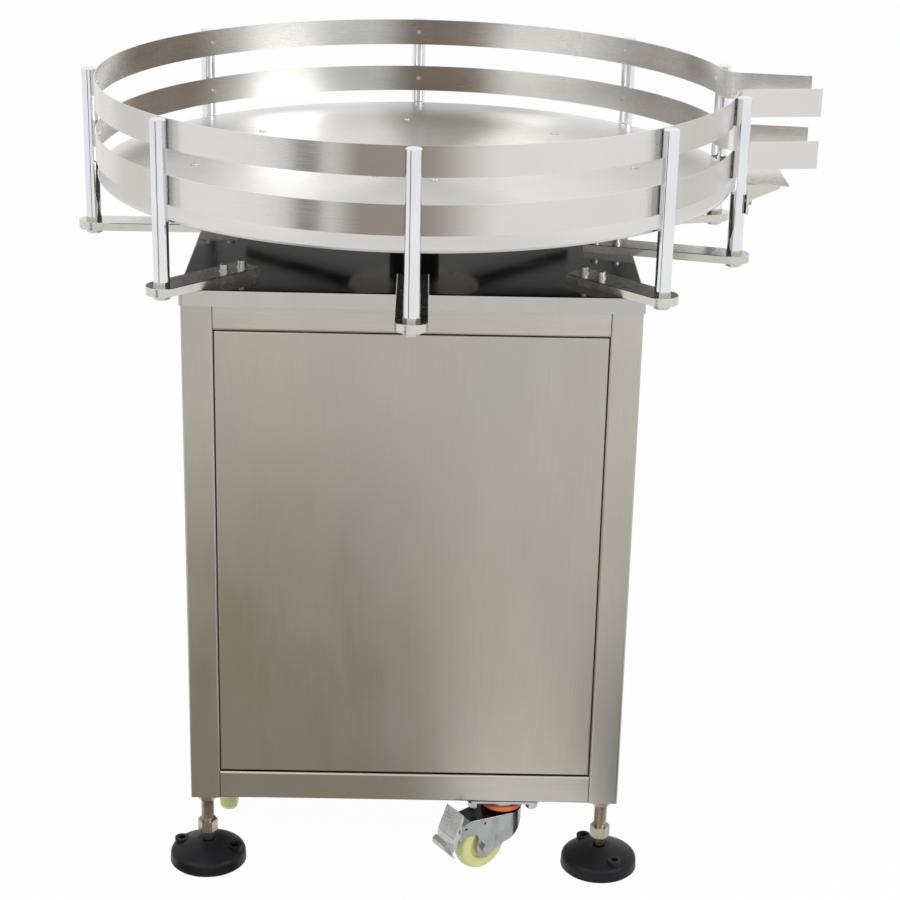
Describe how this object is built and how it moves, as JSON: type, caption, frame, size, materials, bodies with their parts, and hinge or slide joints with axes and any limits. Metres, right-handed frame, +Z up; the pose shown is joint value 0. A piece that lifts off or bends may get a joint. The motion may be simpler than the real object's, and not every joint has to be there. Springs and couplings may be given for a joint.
{
  "type": "bottle unscrambler",
  "caption": "Rotary table on a stainless cabinet: a driven disc inside two guide bands on posts, with an exit lane and transfer plate, levelling feet and braked swivel casters.",
  "frame": {"origin": "on the floor, under the middle of the whole machine's outline; the turntable's axis is 36.5 mm to its left", "axes": "+Z up, -Y towards the front panel, +X towards the exit lane and its conveyor"},
  "size_m": [0.933, 0.8598, 0.98],
  "materials": {
    "brushed_stainless": "fine brushed",
    "polished_stainless": "smooth, near mirror",
    "satin_arm": "satin",
    "bright_post": "bright",
    "screw_steel": "machined",
    "plain_steel": "machined",
    "cast_housing": "cast",
    "motor_paint": "semi-gloss paint",
    "zinc_steel": "zinc plated",
    "seal_rubber": "soft",
    "wheel_nylon": "moulded",
    "black_nylon": "fine moulded grain"
  },
  "bodies": {
    "cabinet": {"corner_posts": "brushed_stainless", "frame_rails": "brushed_stainless", "floor_plate": "plain_steel", "mounting_plate": "plain_steel", "top_cover": "brushed_stainless", "front_panel": "brushed_stainless", "left_panel": "brushed_stainless", "right_panel": "brushed_stainless", "door_hinge_leaves": "brushed_stainless", "gearbox": "cast_housing", "motor": "motor_paint", "motor_fan_cover": "motor_paint", "bearing_housing": "cast_housing", "spindle_bearings": "plain_steel", "guide_arms": "satin_arm", "deck_screws": "screw_steel", "guide_posts": "bright_post", "post_jam_nuts": "bright_post", "post_bolts": "screw_steel", "upper_guide_band": "brushed_stainless", "lower_guide_band": "brushed_stainless", "band_screws": "screw_steel", "transfer_plate": "brushed_stainless", "transfer_brackets": "brushed_stainless", "transfer_screws": "screw_steel", "caster_plates": "zinc_steel", "caster_bolts": "screw_steel", "caster_seals": "seal_rubber", "foot_inserts": "zinc_steel", "controller": "black_nylon", "cable_gland": "black_nylon"},
    "turntable": {"turntable_disc": "polished_stainless", "disc_screws": "screw_steel", "disc_spider": "plain_steel", "spindle": "plain_steel"},
    "door": {"rear_door": "brushed_stainless", "door_hinge_flaps": "brushed_stainless"},
    "lock": {"door_lock": "bright_post"},
    "knob": {"speed_knob": "black_nylon"},
    "rocker": {"power_rocker": "black_nylon"},
    "fork_1": {"caster_fork_1": "zinc_steel"},
    "wheel_1": {"caster_wheel_1": "wheel_nylon"},
    "pedal_1": {"brake_pedal_1": "zinc_steel"},
    "stud_1": {"foot_stud_1": "zinc_steel"},
    "base_1": {"foot_base_1": "black_nylon"},
    "fork_2": {"caster_fork_2": "zinc_steel"},
    "wheel_2": {"caster_wheel_2": "wheel_nylon"},
    "pedal_2": {"brake_pedal_2": "zinc_steel"},
    "stud_2": {"foot_stud_2": "zinc_steel"},
    "base_2": {"foot_base_2": "black_nylon"},
    "fork_3": {"caster_fork_3": "zinc_steel"},
    "wheel_3": {"caster_wheel_3": "wheel_nylon"},
    "pedal_3": {"brake_pedal_3": "zinc_steel"},
    "stud_3": {"foot_stud_3": "zinc_steel"},
    "base_3": {"foot_base_3": "black_nylon"},
    "fork_4": {"caster_fork_4": "zinc_steel"},
    "wheel_4": {"caster_wheel_4": "wheel_nylon"},
    "pedal_4": {"brake_pedal_4": "zinc_steel"},
    "stud_4": {"foot_stud_4": "zinc_steel"},
    "base_4": {"foot_base_4": "black_nylon"}
  },
  "joints": [
    {"name": "turntable_spin", "type": "hinge", "parent": "cabinet", "child": "turntable", "pos_m": [-0.0365, 0, 0.862], "axis": [0, 0, 1], "continuous": true},
    {"name": "door_hinge", "type": "hinge", "parent": "cabinet", "child": "door", "pos_m": [0.198, 0.2775, 0.43225], "axis": [0, 0, 1], "range_deg": [-110, 0]},
    {"name": "lock_turn", "type": "hinge", "parent": "door", "child": "lock", "pos_m": [-0.254, 0.2717, 0.43225], "axis": [0, 1, 0], "range_deg": [0, 90]},
    {"name": "knob_turn", "type": "hinge", "parent": "cabinet", "child": "knob", "pos_m": [-0.31422, 0.11, 0.658], "axis": [-1, 0, 0], "range_deg": [-135, 135]},
    {"name": "rocker_tip", "type": "hinge", "parent": "cabinet", "child": "rocker", "pos_m": [-0.31022, 0.11, 0.612], "axis": [0, 1, 0], "range_deg": [-20, 0]},
    {"name": "caster_swivel_1", "type": "hinge", "parent": "cabinet", "child": "fork_1", "pos_m": [0.0895, -0.243, 0.08], "axis": [0, 0, 1], "continuous": true},
    {"name": "wheel_spin_1", "type": "hinge", "parent": "fork_1", "child": "wheel_1", "pos_m": [0.06032, -0.26268, 0.0365], "axis": [-0.5592, 0.829, 0], "continuous": true},
    {"name": "brake_press_1", "type": "hinge", "parent": "fork_1", "child": "pedal_1", "pos_m": [0.02732, -0.28494, 0.071], "axis": [0.5592, -0.829, 0], "range_deg": [0, 13]},
    {"name": "caster_swivel_2", "type": "hinge", "parent": "cabinet", "child": "fork_2", "pos_m": [-0.2735, -0.157, 0.08], "axis": [0, 0, 1], "range_deg": [-120, 120]},
    {"name": "wheel_spin_2", "type": "hinge", "parent": "fork_2", "child": "wheel_2", "pos_m": [-0.2735, -0.1218, 0.0365], "axis": [1, 0, 0], "continuous": true},
    {"name": "brake_press_2", "type": "hinge", "parent": "fork_2", "child": "pedal_2", "pos_m": [-0.2735, -0.082, 0.071], "axis": [-1, 0, 0], "range_deg": [0, 13]},
    {"name": "caster_swivel_3", "type": "hinge", "parent": "cabinet", "child": "fork_3", "pos_m": [-0.1625, 0.243, 0.08], "axis": [0, 0, 1], "continuous": true},
    {"name": "wheel_spin_3", "type": "hinge", "parent": "fork_3", "child": "wheel_3", "pos_m": [-0.13332, 0.26268, 0.0365], "axis": [0.5592, -0.829, 0], "continuous": true},
    {"name": "brake_press_3", "type": "hinge", "parent": "fork_3", "child": "pedal_3", "pos_m": [-0.10032, 0.28494, 0.071], "axis": [-0.5592, 0.829, 0], "range_deg": [0, 13]},
    {"name": "caster_swivel_4", "type": "hinge", "parent": "cabinet", "child": "fork_4", "pos_m": [0.2005, 0.157, 0.08], "axis": [0, 0, 1], "range_deg": [-120, 120]},
    {"name": "wheel_spin_4", "type": "hinge", "parent": "fork_4", "child": "wheel_4", "pos_m": [0.2005, 0.1218, 0.0365], "axis": [-1, 0, 0], "continuous": true},
    {"name": "brake_press_4", "type": "hinge", "parent": "fork_4", "child": "pedal_4", "pos_m": [0.2005, 0.082, 0.071], "axis": [1, 0, 0], "range_deg": [0, 13]},
    {"name": "foot_height_1", "type": "slide", "parent": "cabinet", "child": "stud_1", "axis": [0, 0, 1], "range_m": [-0.02, 0.012]},
    {"name": "foot_tilt_1", "type": "hinge", "parent": "stud_1", "child": "base_1", "pos_m": [0.217, -0.2535, 0.019], "axis": [1, 0, 0], "range_deg": [-6, 6]},
    {"name": "foot_height_2", "type": "slide", "parent": "cabinet", "child": "stud_2", "axis": [0, 0, 1], "range_m": [-0.02, 0.012]},
    {"name": "foot_tilt_2", "type": "hinge", "parent": "stud_2", "child": "base_2", "pos_m": [-0.29, -0.2535, 0.019], "axis": [1, 0, 0], "range_deg": [-6, 6]},
    {"name": "foot_height_3", "type": "slide", "parent": "cabinet", "child": "stud_3", "axis": [0, 0, 1], "range_m": [-0.02, 0.012]},
    {"name": "foot_tilt_3", "type": "hinge", "parent": "stud_3", "child": "base_3", "pos_m": [-0.29, 0.2535, 0.019], "axis": [1, 0, 0], "range_deg": [-6, 6]},
    {"name": "foot_height_4", "type": "slide", "parent": "cabinet", "child": "stud_4", "axis": [0, 0, 1], "range_m": [-0.02, 0.012]},
    {"name": "foot_tilt_4", "type": "hinge", "parent": "stud_4", "child": "base_4", "pos_m": [0.217, 0.2535, 0.019], "axis": [1, 0, 0], "range_deg": [-6, 6]}
  ]
}
